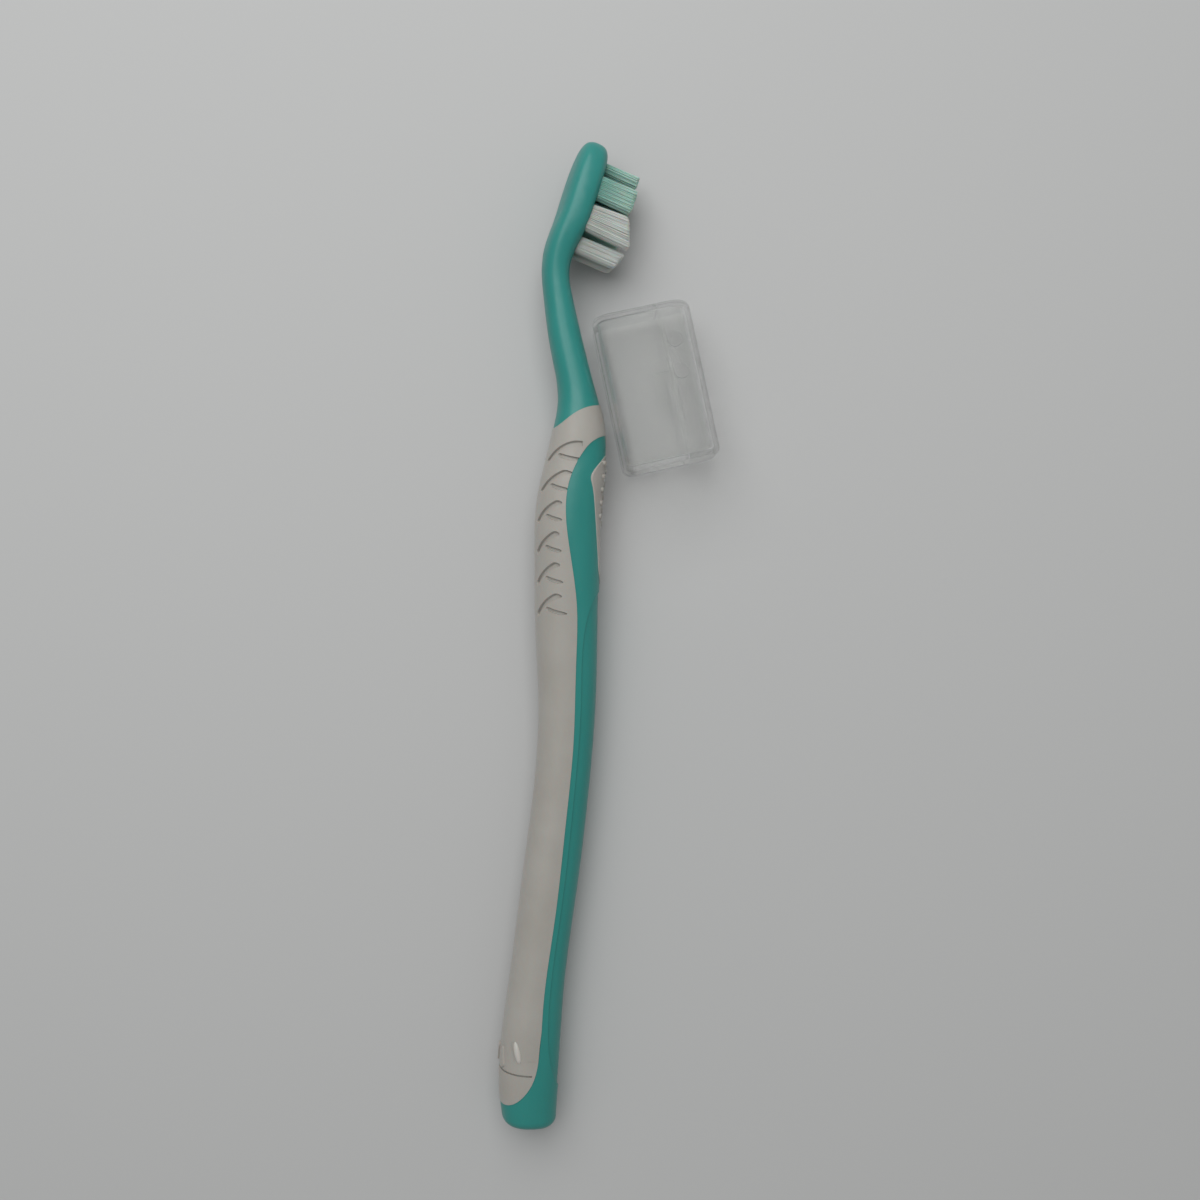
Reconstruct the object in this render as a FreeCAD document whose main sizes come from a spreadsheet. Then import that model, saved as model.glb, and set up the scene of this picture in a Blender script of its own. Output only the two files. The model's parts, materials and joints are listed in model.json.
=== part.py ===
import FreeCAD, Part
import math
import os
import Sketcher

V = FreeCAD.Vector
Turn = FreeCAD.Rotation
Place = FreeCAD.Placement

doc = FreeCAD.newDocument("toothbrush")
sheet = doc.addObject("Spreadsheet::Sheet", "dims")

# Driving sizes in millimetres and degrees.
# The brush is drawn with its length along Y, bristles towards X and its left side towards Z.
sizes = {
    "grip_thick": 1.2,
    "grip_proud": 0.12,
    "groove_deep": 0.45,
    "groove_wide": 0.9,
    "groove_pitch": 5.75,
    "groove_first": 97.3,
    "chevron_inner": 1.5,
    "chevron_outer": 5.5,
    "chevron_rise": 3.6,
    "dash_inner": 4.3,
    "dash_outer": 5.7,
    "dash_start": 1.05,
    "dash_rise": -0.55,
    "dash_wide": 0.75,
    "dot_high": 0.3,
    "dot_wide": 1.0,
    "dot_pitch": 2.5,
    "dot_from_top": 2.4,
    "dot_side": 3.7,
    "ridge_step": 0.25,
    "end_round": 1.9,
    "pad_low": 103.7,
    "pad_high": 129.05,
    "pad_wide": 11.5,
    "pad_foot_wide": 7.8,
    "bump_long": 2.5,
    "bump_wide": 1.2,
    "bump_lean": 0.33,
    "outer_bump_along": 15.2,
    "outer_bump_side": 4.6,
    "inner_bump_along": 13.4,
    "inner_bump_side": 1.6,
    "seam_along": 10.9,
    "seam_reach": 5.8,
    "seam_wide": 0.35,
    "head_along": 164.5,
    "head_front": -7.3,
    "head_lean": 13.8,
    "head_face_from": -0.6,
    "head_tip_round": 1.0,
    "tuft_sunk": 3.0,
    "tuft_spread": 0.015,
    "level_slant": 0.0,
    "side_tuft_wide": 2.3,
    "heel_tuft_out": 1.75,
    "heel_tuft_low": 1.0,
    "heel_tuft_high": 4.4,
    "heel_tuft_tall": 8.7,
    "heel_tuft_fan": 0.01,
    "heel_tuft_slant": 20.0,
    "mid_tuft_out": 3.6,
    "mid_tuft_low": 5.1,
    "mid_tuft_high": 10.2,
    "mid_tuft_tall": 8.4,
    "mid_tuft_fan": 0.055,
    "mid_tuft_slant": -20.0,
    "tip_tuft_out": 3.35,
    "tip_tuft_low": 11.2,
    "tip_tuft_high": 16.1,
    "tip_tuft_tall": 7.4,
    "tip_tuft_fan": 0.0,
    "tip_tuft_slant": 0.0,
    "crown_tuft_at": 18.3,
    "crown_tuft_long": 4.6,
    "crown_tuft_tall": 7.3,
    "inner_tuft_wide": 1.6,
    "inner_tuft_out": 1.1,
    "inner_tuft_first": 6.2,
    "inner_tuft_pitch": 2.3,
    "inner_tuft_tall": 7.8,
    "anchor_thick": 0.35,
    "anchor_tall": 1.4,
    "anchor_bite": 0.1,
    "cap_long": 29.5,
    "cap_deep": 18.6,
    "cap_tall": 14.5,
    "cap_split": 12.2,
    "cap_wall": 1.0,
    "cap_corner": 3.0,
    "cap_nose": 4.4,
    "cap_edge": 1.5,
    "cap_gap": 0.2,
    "neck_slot_wide": 7.8,
    "neck_slot_left": 1.4,
    "vent_wide": 2.8,
    "vent_low": 1.4,
    "vent_high": 7.4,
    "vent_from_split": 2.1,
    "hinge_strip_long": 22.0,
    "hinge_strip_wide": 1.0,
    "hinge_strip_thick": 0.3,
    "latch_wide": 8.0,
    "latch_reach": 2.2,
    "latch_thick": 0.8,
    "latch_fit": 0.25,
    "latch_root": 1.6,
    "roll": 15.0,
    "pitch": 0.27,
    "cap_turn": 17.5,
    "cap_side": 11.17,
    "cap_along": 141.6,
}

# Stations of the handle and neck: place along, centre towards the bristles, depth, width, lean, squareness.
stations = [
    (0.0, 0.35, 10.1, 9.2, 0.0, 2.3),
    (5.0, -0.35, 10.9, 10.2, 0.0, 2.3),
    (11.7, -0.7, 11.4, 10.6, 0.0, 2.3),
    (27.4, -0.64, 10.6, 10.4, 0.0, 2.3),
    (47.1, 0.11, 10.7, 10.5, 0.0, 2.3),
    (66.1, 0.64, 10.5, 10.7, -2.0, 2.3),
    (80.6, 0.18, 10.9, 11.1, -4.0, 2.3),
    (95.8, -1.41, 11.85, 12.0, -5.0, 2.3),
    (107.7, -2.56, 12.05, 12.6, -4.0, 2.3),
    (118.4, -3.29, 11.95, 12.5, -3.0, 2.3),
    (126.1, -2.84, 11.25, 11.6, -4.0, 2.3),
    (132.6, -2.75, 9.8, 10.0, -8.0, 2.3),
    (138.8, -3.62, 7.25, 8.4, -15.0, 2.3),
    (148.8, -6.74, 6.1, 7.0, -18.0, 2.3),
    (157.0, -9.1, 5.25, 6.6, -13.0, 2.3),
    (162.3, -10.1, 5.0, 7.2, -1.0, 2.4),
    (167.0, -9.45, 5.5, 9.6, 8.5, 2.8),
]
keys = ("along", "front", "depth", "width", "lean", "square")
for i, station in enumerate(stations):
    for key, value in zip(keys, station):
        sizes["station%02d_%s" % (i, key)] = value

# Stations of the head in its own frame: place along, back, face before it is cut flat, width, squareness.
head_stations = [
    (6.2, -5.3, 0.6, 11.5, 3.0),
    (11.0, -5.4, 0.6, 12.0, 3.0),
    (15.5, -5.5, 0.5, 11.3, 3.0),
    (18.8, -5.4, 0.3, 9.7, 2.8),
    (20.9, -5.0, -0.1, 7.2, 2.6),
    (22.0, -4.0, -0.9, 4.0, 2.4),
]
head_keys = ("along", "back", "face", "width", "square")
for i, station in enumerate(head_stations):
    for key, value in zip(head_keys, station):
        sizes["head%02d_%s" % (i, key)] = value

for row, (alias, value) in enumerate(sizes.items(), start=1):
    sheet.set("A%d" % row, alias)
    sheet.set("B%d" % row, repr(value))
    sheet.setAlias("B%d" % row, alias)
doc.recompute()


def dim(alias):
    return float(sheet.get(alias))


def station_dim(i, key):
    return dim("station%02d_%s" % (i, key))


def head_dim(i, key):
    return dim("head%02d_%s" % (i, key))


# Frame of the head: X across the bristle face, Y along it, Z out of it.
def head_frame():
    lean = math.radians(dim("head_lean"))
    along = V(math.sin(lean), math.cos(lean), 0)
    out = V(math.cos(lean), -math.sin(lean), 0)
    turn = Turn(along.cross(out), along, out, "ZXY")
    return Place(V(dim("head_front"), dim("head_along"), 0), turn)


HEAD = head_frame()

# Smooth closed sections, set square to the curved line of the brush, joined into one form.
SECTION_POINTS = 20


def section(centre, lean, half_depth, half_width, square):
    points = []
    for k in range(SECTION_POINTS):
        angle = 2 * math.pi * k / SECTION_POINTS
        c = math.cos(angle)
        s = math.sin(angle)
        x = math.copysign(abs(c) ** (2 / square), c) * half_depth
        z = math.copysign(abs(s) ** (2 / square), s) * half_width
        points.append(V(x, 0, z))
    curve = Part.BSplineCurve()
    steps = [float(k) for k in range(SECTION_POINTS + 1)]
    curve.interpolate(Points=points, PeriodicFlag=True, Parameters=steps)
    wire = Part.Wire(curve.toShape())
    wire.Placement = Place(centre, Turn(V(0, 0, 1), -lean))
    return wire


def handle_section(i, grow):
    centre = V(station_dim(i, "front"), station_dim(i, "along"), 0)
    half_depth = station_dim(i, "depth") / 2 + grow
    half_width = station_dim(i, "width") / 2 + grow
    return section(centre, station_dim(i, "lean"), half_depth, half_width, station_dim(i, "square"))


def head_section(i):
    back = head_dim(i, "back")
    face = head_dim(i, "face")
    centre = HEAD.multVec(V(0, head_dim(i, "along"), (back + face) / 2))
    half_width = head_dim(i, "width") / 2
    return section(centre, dim("head_lean"), (face - back) / 2, half_width, head_dim(i, "square"))


def handle_form(name, grow, last, head_wires):
    wires = [handle_section(i, grow) for i in range(last + 1)] + head_wires
    form = doc.addObject("Part::Feature", name)
    form.Shape = Part.makeLoft(wires, True, False)
    return form


LAST = len(stations) - 1
GRIP_LAST = 13
grip_proud = dim("grip_proud")
head_wires = [head_section(i) for i in range(len(head_stations))]
form = handle_form("form", 0.0, LAST, head_wires)
end_edges = [e for e in form.Shape.Edges if e.BoundBox.YMax < 0.01]
form.Shape = form.Shape.makeFillet(dim("end_round"), end_edges)
tip_low = head_wires[-1].BoundBox.YMin
tip_edges = [e for e in form.Shape.Edges if e.BoundBox.YMin > tip_low - 0.01]
form.Shape = form.Shape.makeFillet(dim("head_tip_round"), tip_edges)
form_skin = handle_form("form_skin", grip_proud, GRIP_LAST, [])
form_bed = handle_form("form_bed", grip_proud - dim("grip_thick"), GRIP_LAST, [])
form_groove = handle_form("form_groove", grip_proud - dim("groove_deep"), GRIP_LAST, [])
form_ridge = handle_form("form_ridge", -dim("ridge_step"), GRIP_LAST, [])
form_dot = handle_form("form_dot", grip_proud + dim("dot_high"), GRIP_LAST, [])


def spline(points):
    curve = Part.BSplineCurve()
    curve.interpolate([V(x, y, 0) for x, y in points])
    return curve.toShape()


SIDE_REACH = 12.0


def side_prism(name, edges):
    face = Part.Face(Part.Wire(Part.__sortEdges__(edges)))
    prism = doc.addObject("Part::Feature", name)
    face.translate(V(0, 0, -SIDE_REACH))
    prism.Shape = face.extrude(V(0, 0, 2 * SIDE_REACH))
    return prism


def lines(points):
    return [Part.makeLine(V(a[0], a[1], 0), V(b[0], b[1], 0)) for a, b in zip(points, points[1:])]


# Side outline of the soft grip: its edge along the handle and the slanting top of its collar.
grip_edge = [
    (-8.0, 4.3), (-5.0, 4.7), (-2.9, 6.5), (-1.1, 9.5), (-0.35, 13.5), (-0.4, 24.0), (0.3, 41.0), (0.6, 58.0),
    (0.6, 74.0), (-0.4, 88.5), (-1.4, 99.5), (-4.0, 110.5), (-5.1, 116.0), (-5.15, 121.5), (-3.2, 127.4),
    (-1.0, 130.4), (2.0, 132.0), (8.0, 132.8),
]
collar_edge = [(8.0, 138.6), (-0.2, 137.4), (-2.2, 136.8), (-4.8, 135.3), (-7.0, 133.1), (-14.0, 130.5)]
grip_outline = [spline(grip_edge), spline(collar_edge)]
grip_outline += lines([grip_edge[-1], collar_edge[0]])
grip_outline += lines([collar_edge[-1], (-14.0, 4.0), grip_edge[0]])
grip_zone = side_prism("grip_zone", grip_outline)

# Side outline of the lowered front of the core, which leaves a fine ridge beside the grip.
ridge_edge = [
    (8.0, 5.0), (3.4, 10.0), (0.9, 21.0), (1.4, 43.0), (1.75, 64.0), (1.3, 82.0), (0.6, 93.0),
    (3.0, 102.0), (8.0, 104.0),
]
ridge_closing = lines([ridge_edge[-1], (11.0, 60.0), ridge_edge[0]])
ridge_zone = side_prism("ridge_zone", [spline(ridge_edge)] + ridge_closing)


def cut(name, base, tool):
    feature = doc.addObject("Part::Cut", name)
    feature.Base = base
    feature.Tool = tool
    feature.Refine = False
    return feature


def common(name, base, tool):
    feature = doc.addObject("Part::Common", name)
    feature.Base = base
    feature.Tool = tool
    feature.Refine = False
    return feature


def fuse(name, shapes):
    feature = doc.addObject("Part::MultiFuse", name)
    feature.Shapes = shapes
    feature.Refine = False
    return feature


def plane_of(body, role):
    return [f for f in body.Origin.OriginFeatures if f.Role == role][0]


def new_sketch(body, name, role, offset):
    sketch = body.newObject("Sketcher::SketchObject", name)
    sketch.AttachmentSupport = [(plane_of(body, role), "")]
    sketch.MapMode = "FlatFace"
    sketch.AttachmentOffset = offset
    return sketch


def add_pad(body, name, sketch, length, reverse=False):
    pad = body.newObject("PartDesign::Pad", name)
    pad.Profile = sketch
    pad.setExpression("Length", length)
    pad.Reversed = reverse
    sketch.Visibility = False
    return pad


def bind(sketch, index, alias, formula):
    sketch.renameConstraint(index, alias)
    sketch.setExpression("Constraints." + alias, formula)


def circle_sketch(sketch, across):
    sketch.addGeometry(Part.Circle(V(0, 0, 0), V(0, 0, 1), 1.0), False)
    sketch.addConstraint(Sketcher.Constraint("Coincident", 0, 3, -1, 1))
    index = sketch.addConstraint(Sketcher.Constraint("Diameter", 0, 2.0))
    bind(sketch, index, "across", across)


def add_arc(sketch, centre, radius, start, finish):
    circle = Part.Circle(centre, V(0, 0, 1), radius)
    sketch.addGeometry(Part.ArcOfCircle(circle, start, finish), False)


def slot_sketch(sketch, across, span):
    half = 1.0
    reach = 1.5
    add_arc(sketch, V(0, reach, 0), half, 0, math.pi)
    sketch.addGeometry(Part.LineSegment(V(-half, reach, 0), V(-half, -reach, 0)), False)
    add_arc(sketch, V(0, -reach, 0), half, math.pi, 2 * math.pi)
    sketch.addGeometry(Part.LineSegment(V(half, -reach, 0), V(half, reach, 0)), False)
    for a, pa, b, pb in ((0, 2, 1, 1), (1, 2, 2, 1), (2, 2, 3, 1), (3, 2, 0, 1)):
        sketch.addConstraint(Sketcher.Constraint("Tangent", a, pa, b, pb))
    sketch.addConstraint(Sketcher.Constraint("Symmetric", 0, 3, 2, 3, -1, 1))
    sketch.addConstraint(Sketcher.Constraint("Vertical", 1))
    sketch.addConstraint(Sketcher.Constraint("Equal", 0, 2))
    index = sketch.addConstraint(Sketcher.Constraint("Radius", 0, half))
    bind(sketch, index, "round", "(" + across + ") / 2")
    index = sketch.addConstraint(Sketcher.Constraint("DistanceY", 2, 3, 0, 3, 2 * reach))
    bind(sketch, index, "centres", span + " - (" + across + ")")


# Tufts: name, width, height, length along a slot (none if round), fan and slant of its ends, place, turn.
tufts = []
for side, sign in (("left", -1), ("right", 1)):
    for row in ("heel", "mid", "tip"):
        mid = (dim(row + "_tuft_low") + dim(row + "_tuft_high")) / 2
        span = "(dims.%s_tuft_high - dims.%s_tuft_low)" % (row, row)
        tall = "dims.%s_tuft_tall" % row
        ends = (row + "_tuft_fan", row + "_tuft_slant")
        spot = V(sign * dim(row + "_tuft_out"), mid, 0)
        tufts.append(("tuft_%s_%s" % (row, side), "dims.side_tuft_wide", tall, span, ends, spot, 0))
crown = V(0, dim("crown_tuft_at"), 0)
level = ("tuft_spread", "level_slant")
tall = "dims.crown_tuft_tall"
tufts.append(("tuft_crown", "dims.side_tuft_wide", tall, "dims.crown_tuft_long", level, crown, 90))
INNER_ROWS = 5
for k in range(INNER_ROWS):
    along = dim("inner_tuft_first") + k * dim("inner_tuft_pitch")
    for side, sign in (("left", -1), ("right", 1)):
        name = "tuft_inner_%d_%s" % (k + 1, side)
        spot = V(sign * dim("inner_tuft_out"), along, 0)
        tufts.append((name, "dims.inner_tuft_wide", "dims.inner_tuft_tall", "", level, spot, 0))


def tuft_profile(body, name, across, span, offset):
    sketch = new_sketch(body, name, "XY_Plane", offset)
    if span:
        slot_sketch(sketch, across, span)
    else:
        circle_sketch(sketch, across)
    return sketch


hole_tools = []
tuft_bodies = []
long_plates = []
short_plates = []
for name, across, tall, span, (fan, slant), spot, quarter in tufts:
    spin = Turn(V(0, 0, 1), quarter)
    hole = doc.addObject("PartDesign::Body", name + "_hole")
    profile = tuft_profile(hole, name + "_mouth", across, span, Place())
    add_pad(hole, name + "_sink", profile, "dims.tuft_sunk", True)
    add_pad(hole, name + "_rim", profile, "dims.tuft_sunk")
    hole.Placement = HEAD.multiply(Place(spot, spin))
    hole_tools.append(hole)
    body = doc.addObject("PartDesign::Body", name)
    profile = tuft_profile(body, name + "_base", across, span, Place())
    add_pad(body, name + "_root", profile, "dims.tuft_sunk", True)
    ends_wide = across + " + 2 * dims.tuft_spread * " + tall
    ends_long = "(%s + 2 * dims.%s * %s) / cos(dims.%s * 1deg)" % (span, fan, tall, slant)
    tilt = Turn(V(1, 0, 0), dim(slant))
    ends = tuft_profile(body, name + "_ends", ends_wide, ends_long if span else "", Place(V(0, 0, 0), tilt))
    ends.setExpression("AttachmentOffset.Base.z", tall)
    bristles = body.newObject("PartDesign::AdditiveLoft", name + "_bristles")
    bristles.Profile = profile
    bristles.Sections = [ends]
    bristles.Ruled = True
    slit = new_sketch(body, name + "_slit", "XY_Plane", Place(V(0, 0, -dim("tuft_sunk")), Turn()))
    slit.setExpression("AttachmentOffset.Base.z", "-dims.tuft_sunk")
    plate_long = span if span else across
    corner = [V(-1, -2, 0), V(1, -2, 0), V(1, 2, 0), V(-1, 2, 0)]
    for k in range(4):
        slit.addGeometry(Part.LineSegment(corner[k], corner[(k + 1) % 4]), False)
    for k in range(4):
        slit.addConstraint(Sketcher.Constraint("Coincident", k, 2, (k + 1) % 4, 1))
    for k, way in ((0, "Horizontal"), (2, "Horizontal"), (1, "Vertical"), (3, "Vertical")):
        slit.addConstraint(Sketcher.Constraint(way, k))
    slit.addConstraint(Sketcher.Constraint("Symmetric", 0, 1, 1, 2, -1, 1))
    index = slit.addConstraint(Sketcher.Constraint("DistanceX", 0, 1, 0, 2, 2.0))
    bind(slit, index, "thick", "dims.anchor_thick")
    index = slit.addConstraint(Sketcher.Constraint("DistanceY", 1, 1, 1, 2, 4.0))
    bind(slit, index, "wide", plate_long + " + 1")
    pocket = body.newObject("PartDesign::Pocket", name + "_fold")
    pocket.Profile = slit
    pocket.Reversed = True
    pocket.setExpression("Length", "dims.anchor_tall")
    slit.Visibility = False
    tuft_bodies.append((body, spot, spin))
    plate = doc.addObject("Part::Box", name + "_anchor")
    plate.setExpression("Length", "dims.anchor_thick")
    plate.setExpression("Width", plate_long + " + 2 * dims.anchor_bite")
    plate.setExpression("Height", "dims.anchor_tall")
    (long_plates if span else short_plates).append((plate, spot, spin))
doc.recompute()
for plate, spot, spin in long_plates + short_plates:
    corner = V(-plate.Length.Value / 2, -plate.Width.Value / 2, -dim("tuft_sunk"))
    plate.Placement = HEAD.multiply(Place(spot, spin)).multiply(Place(corner, Turn()))


def group(name, pieces):
    compound = doc.addObject("Part::Compound", name)
    compound.Links = pieces
    return compound


# Soft grip: the skin of the handle form over its bed, with its chevrons, bumps and fine cross groove.
grip_bed = cut("grip_bed", grip_zone, form_bed)
grip_blank = common("grip_blank", form_skin, grip_bed)


def slot_prism(name, start, finish, wide, front, back):
    # A round-ended bar of cutting material, drawn across the width and reaching from front to back.
    a = V(front, start[1], start[0])
    b = V(front, finish[1], finish[0])
    run = b.sub(a)
    long = run.Length
    tilt = math.degrees(math.atan2(run.z, run.y))
    place = Place(a, Turn(V(1, 0, 0), tilt))
    pieces = []
    for spot in (0.0, long):
        pieces.append(Part.makeCylinder(wide / 2, front - back, V(0, spot, 0), V(-1, 0, 0)))
    bar = Part.makeBox(front - back, long, wide)
    bar.translate(V(back - front, 0, -wide / 2))
    prism = doc.addObject("Part::Feature", name)
    prism.Shape = bar.fuse(pieces).removeSplitter()
    prism.Placement = place
    return prism


BACK = -14.0
MIDDLE = -3.0
FRONT = 0.0
groove_bars = []
CHEVRONS = 6
pitch_step = dim("groove_pitch")
groove_wide = dim("groove_wide")
for k in range(CHEVRONS):
    at = dim("groove_first") + k * pitch_step
    dash_at = at + dim("dash_start")
    for side in (1, -1):
        tag = "%d_%s" % (k + 1, "left" if side > 0 else "right")
        start = (side * dim("chevron_inner"), at)
        finish = (side * dim("chevron_outer"), at + dim("chevron_rise"))
        groove_bars.append(slot_prism("chevron_" + tag, start, finish, groove_wide, MIDDLE, BACK))
        start = (side * dim("dash_inner"), dash_at)
        finish = (side * dim("dash_outer"), dash_at + dim("dash_rise"))
        groove_bars.append(slot_prism("dash_" + tag, start, finish, dim("dash_wide"), MIDDLE, BACK))
SEAM_FRONT = -1.3
seam = dim("seam_along")
for side in (1, -1):
    tag = "left" if side > 0 else "right"
    finish = (side * dim("seam_reach"), seam)
    groove_bars.append(slot_prism("seam_" + tag, (0.0, seam), finish, dim("seam_wide"), SEAM_FRONT, BACK))
groove_tool = cut("groove_tool", group("groove_bars", groove_bars), form_groove)
grip_grooved = cut("grip_grooved", grip_blank, groove_tool)
bumps = []
reach = dim("bump_long") / 2
lean = dim("bump_lean")
for pair in ("outer", "inner"):
    at = dim(pair + "_bump_along")
    spot = dim(pair + "_bump_side")
    for side in (1, -1):
        tag = "%s_%s" % (pair, "left" if side > 0 else "right")
        start = (side * (spot + lean), at - reach)
        finish = (side * (spot - lean), at + reach)
        bumps.append(slot_prism("bump_" + tag, start, finish, dim("bump_wide"), FRONT, BACK))
bump_core = common("bump_core", form_dot, group("bump_bars", bumps))
bump_caps = cut("bump_caps", bump_core, form_bed)
back_grip = fuse("back_grip", [grip_grooved, bump_caps])

# Thumb pad: an oval island in the front of the core, with small raised dots.
pad_top_round = dim("pad_wide") / 2
pad_foot_round = dim("pad_foot_wide") / 2
top = dim("pad_high") - pad_top_round
foot = dim("pad_low") + pad_foot_round
PAD_BACK = -1.5
PAD_FRONT = 12.0
DOT_REACH = 9.0


def teardrop(big_at, big, small_at, small, start, finish):
    gap = big_at - small_at
    lean = math.asin((big - small) / gap)
    c = math.cos(lean)
    s = math.sin(lean)
    corner = [
        V(start, big_at - big * s, big * c),
        V(start, small_at - small * s, small * c),
        V(start, small_at - small * s, -small * c),
        V(start, big_at - big * s, -big * c),
    ]
    edges = [
        Part.makeLine(corner[0], corner[1]),
        Part.Arc(corner[1], V(start, small_at - small, 0), corner[2]).toShape(),
        Part.makeLine(corner[2], corner[3]),
        Part.Arc(corner[3], V(start, big_at + big, 0), corner[0]).toShape(),
    ]
    return Part.Face(Part.Wire(Part.__sortEdges__(edges))).extrude(V(finish - start, 0, 0))


pad_zone = doc.addObject("Part::Feature", "pad_zone")
pad_zone.Shape = teardrop(top, pad_top_round, foot, pad_foot_round, PAD_BACK, PAD_FRONT)
pad_bed = cut("pad_bed", pad_zone, form_bed)
pad_blank = common("pad_blank", form_skin, pad_bed)
dot_posts = []
DOT_ROWS = 5
for k in range(DOT_ROWS):
    at = dim("pad_high") - dim("dot_from_top") - k * dim("dot_pitch")
    between = at - dim("dot_pitch") / 2
    for n, side in enumerate((-1, 1)):
        spots = (V(0, at, side * dim("dot_side")), V(0, between, side * dim("dot_side") / 3))
        for place, spot in zip(("edge", "mid"), spots):
            post = doc.addObject("Part::Cylinder", "dot_%s_%d_%d" % (place, k + 1, n + 1))
            post.setExpression("Radius", "dims.dot_wide / 2")
            post.Height = DOT_REACH
            post.Placement = Place(spot, Turn(V(0, 1, 0), 90))
            dot_posts.append(post)
dot_heads = common("dot_heads", form_dot, group("dot_posts", dot_posts))
dot_caps = cut("dot_caps", dot_heads, form_bed)
thumb_pad = fuse("thumb_pad", [pad_blank, dot_caps])

# Core: handle, neck and head in one, with the tuft holes and the beds of the soft pieces taken out.
FACE_WIDE = 24.0
FACE_LONG = 30.0
FACE_HIGH = 6.0
head_face = doc.addObject("Part::Box", "head_face")
head_face.Length = FACE_WIDE
head_face.Width = FACE_LONG
head_face.Height = FACE_HIGH
head_face.Placement = HEAD.multiply(Place(V(-FACE_WIDE / 2, dim("head_face_from"), 0), Turn()))
core_faced = cut("core_faced", form, head_face)
core_holed = cut("core_holed", core_faced, group("tuft_holes", hole_tools))
core_bedded = cut("core_bedded", core_holed, grip_bed)
core_padded = cut("core_padded", core_bedded, pad_bed)
ridge_tool = cut("ridge_tool", ridge_zone, form_ridge)
handle_core = cut("handle_core", core_padded, ridge_tool)
doc.recompute()

long_anchors = group("long_anchors", [p[0] for p in long_plates])
short_anchors = group("short_anchors", [p[0] for p in short_plates])
doc.recompute()

# Cap halves, drawn in the cap's own frame: X through its depth, Y along it, Z up from the side it lies on.
cap_deep = dim("cap_deep")
cap_tall = dim("cap_tall")
cap_long = dim("cap_long")
cap_wall = dim("cap_wall")
cap_gap = dim("cap_gap")
split = dim("cap_split") - cap_deep / 2


def half_profile(sketch, split_at, outer_at, low_at, high_at, rounding):
    # Each size comes as its value for the first drawing and its formula for the constraint.
    x_split = split_at[0]
    x_outer = outer_at[0]
    z_low = low_at[0]
    z_high = high_at[0]
    r = rounding[0]
    side = 1 if x_outer > x_split else -1
    shoulder = x_outer - side * r
    quarter = math.pi / 2
    first = -quarter if side > 0 else 2 * quarter
    third = 0 if side > 0 else quarter
    sketch.addGeometry(Part.LineSegment(V(x_split, z_low, 0), V(shoulder, z_low, 0)), False)
    add_arc(sketch, V(shoulder, z_low + r, 0), r, first, first + quarter)
    sketch.addGeometry(Part.LineSegment(V(x_outer, z_low + r, 0), V(x_outer, z_high - r, 0)), False)
    add_arc(sketch, V(shoulder, z_high - r, 0), r, third, third + quarter)
    sketch.addGeometry(Part.LineSegment(V(shoulder, z_high, 0), V(x_split, z_high, 0)), False)
    sketch.addGeometry(Part.LineSegment(V(x_split, z_high, 0), V(x_split, z_low, 0)), False)
    near = 1 if side > 0 else 2
    far = 2 if side > 0 else 1
    for a, pa, b, pb in ((0, 2, 1, near), (1, far, 2, 1), (2, 2, 3, near), (3, far, 4, 1)):
        sketch.addConstraint(Sketcher.Constraint("Tangent", a, pa, b, pb))
    sketch.addConstraint(Sketcher.Constraint("Coincident", 4, 2, 5, 1))
    sketch.addConstraint(Sketcher.Constraint("Coincident", 5, 2, 0, 1))
    sketch.addConstraint(Sketcher.Constraint("Horizontal", 0))
    sketch.addConstraint(Sketcher.Constraint("Horizontal", 4))
    sketch.addConstraint(Sketcher.Constraint("Vertical", 2))
    sketch.addConstraint(Sketcher.Constraint("Vertical", 5))
    sketch.addConstraint(Sketcher.Constraint("Equal", 1, 3))
    index = sketch.addConstraint(Sketcher.Constraint("Radius", 1, r))
    bind(sketch, index, "rounding", rounding[1])
    index = sketch.addConstraint(Sketcher.Constraint("DistanceX", -1, 1, 5, 1, x_split))
    bind(sketch, index, "split", split_at[1])
    index = sketch.addConstraint(Sketcher.Constraint("DistanceX", -1, 1, 2, 1, x_outer))
    bind(sketch, index, "outer", outer_at[1])
    index = sketch.addConstraint(Sketcher.Constraint("DistanceY", -1, 1, 5, 1, z_high))
    bind(sketch, index, "high", high_at[1])
    if z_low > 0:
        index = sketch.addConstraint(Sketcher.Constraint("DistanceY", -1, 1, 5, 2, z_low))
        bind(sketch, index, "low", low_at[1])
    else:
        sketch.addConstraint(Sketcher.Constraint("PointOnObject", 5, 2, -1))


def half_block(name, split_at, outer_at, low_high, rounding, long_at, edge_round):
    low_at, high_at = low_high
    body = doc.addObject("PartDesign::Body", name)
    sketch = new_sketch(body, name + "_profile", "XZ_Plane", Place())
    half_profile(sketch, split_at, outer_at, low_at, high_at, rounding)
    pad = add_pad(body, name + "_pad", sketch, long_at[1])
    pad.Midplane = True
    doc.recompute()
    names = []
    for k, edge in enumerate(pad.Shape.Edges, start=1):
        box = edge.BoundBox
        at_end = abs(abs(box.YMin) - long_at[0] / 2) < 1e-4 and box.YLength < 1e-4
        on_split = box.XLength < 1e-4 and abs(box.XMin - split_at[0]) < 1e-4
        if at_end and not on_split:
            names.append("Edge%d" % k)
    fillet = body.newObject("PartDesign::Fillet", name + "_ends")
    fillet.Base = (pad, names)
    fillet.setExpression("Radius", edge_round)
    doc.recompute()
    return body


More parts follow.
